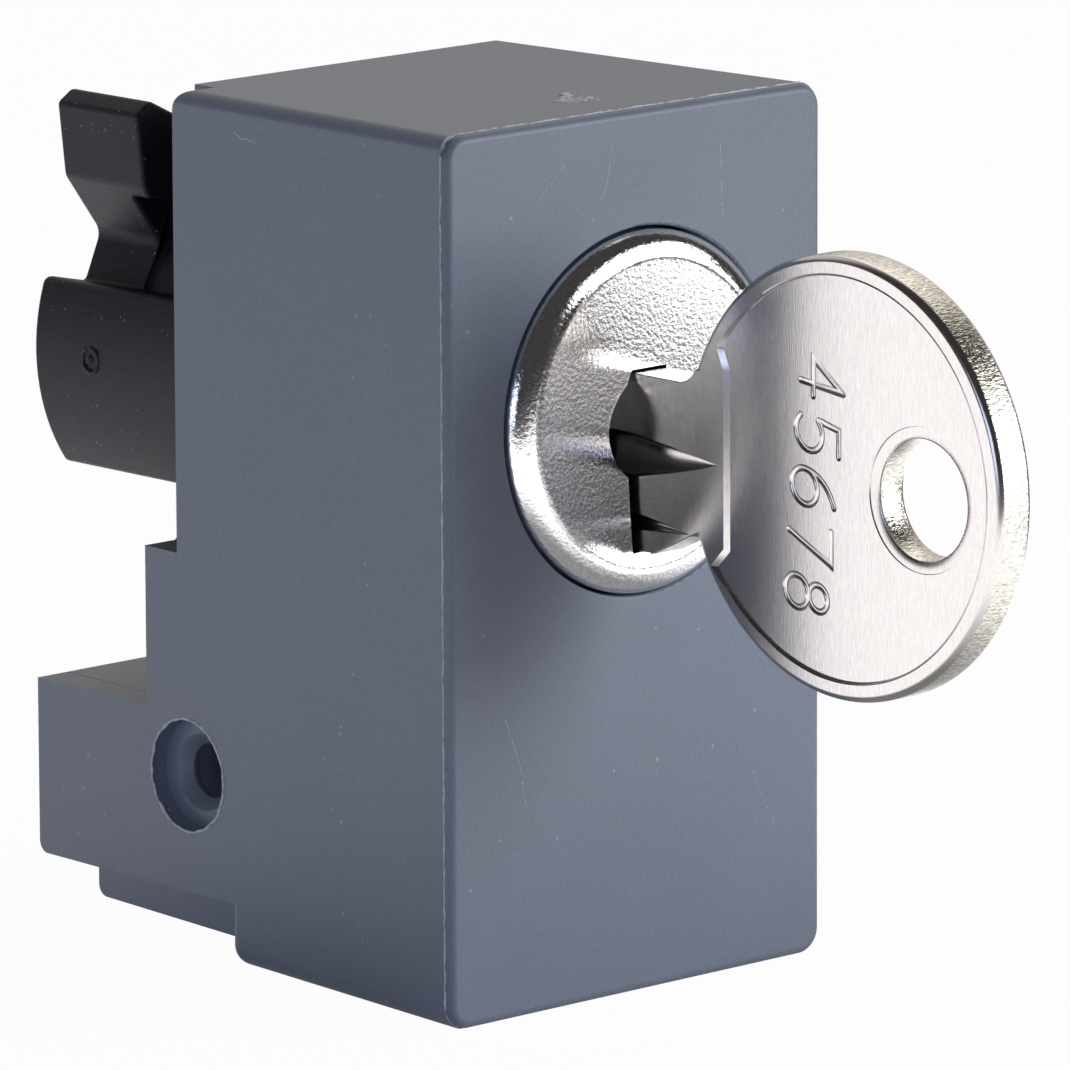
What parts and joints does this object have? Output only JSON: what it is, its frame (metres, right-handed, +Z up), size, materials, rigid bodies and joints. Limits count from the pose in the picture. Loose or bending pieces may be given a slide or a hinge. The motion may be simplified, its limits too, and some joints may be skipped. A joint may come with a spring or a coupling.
{
  "type": "enclosure door lock",
  "caption": "Key lock for an enclosure door: a stepped moulded housing with a dished chromed cap, a round-bowed key and a quarter-turn hooked cam behind.",
  "frame": {"origin": "where the lock axis meets the plane of the housing's front face", "axes": "+Z up, -Y out of the front face towards the key, +X to the right seen from the front"},
  "size_m": [0.0261, 0.0623, 0.0459],
  "materials": {
    "grey_moulding": "fine spark-eroded mould texture, slate grey",
    "black_moulding": "glass-filled nylon, near black",
    "chrome_plate": "bright chrome over a cast zinc face",
    "nickel_key": "nickel-plated, faintly brushed faces and rough punched edges",
    "zinc_casting": "plain zinc die casting",
    "zinc_steel": "bright zinc-plated steel",
    "spring_steel": "plain spring steel",
    "brass_wafer": "stamped brass",
    "seal_rubber": "black nitrile rubber"
  },
  "bodies": {
    "housing": {"housing_shell": "grey_moulding", "rear_carrier": "grey_moulding", "carrier_screws": "zinc_steel", "barrel_sleeve": "zinc_casting", "sleeve_clip": "spring_steel", "recess_seal": "seal_rubber", "stop_pin": "zinc_steel", "detent_ball": "zinc_steel", "detent_spring": "spring_steel"},
    "rotor": {"chrome_cap": "chrome_plate", "plug": "zinc_casting", "cap_pins": "zinc_steel", "stop_disc": "zinc_steel", "thrust_washer": "spring_steel", "latch_cam": "black_moulding", "cam_washer": "spring_steel", "cam_screw": "zinc_steel", "wafer_springs": "spring_steel"},
    "key": {"key": "nickel_key"},
    "wafers": {"wafer_1": "brass_wafer", "wafer_2": "brass_wafer", "wafer_3": "brass_wafer", "wafer_4": "brass_wafer", "wafer_5": "brass_wafer"}
  },
  "joints": [
    {"name": "lock_turn", "type": "hinge", "parent": "housing", "child": "rotor", "pos_m": [0, 0, 0], "axis": [0, 1, 0], "range_deg": [0, 90]},
    {"name": "key_slide", "type": "slide", "parent": "rotor", "child": "key", "axis": [0, -1, 0], "range_m": [0, 0.024]},
    {"name": "wafer_drop", "type": "slide", "parent": "rotor", "child": "wafers", "axis": [0, 0, -1], "range_m": [0, 0.0005], "deforming": ["wafer_springs"]}
  ],
  "couplings": [
    {"joint": "wafer_drop", "follows": "key_slide", "ratio": 0.02}
  ]
}
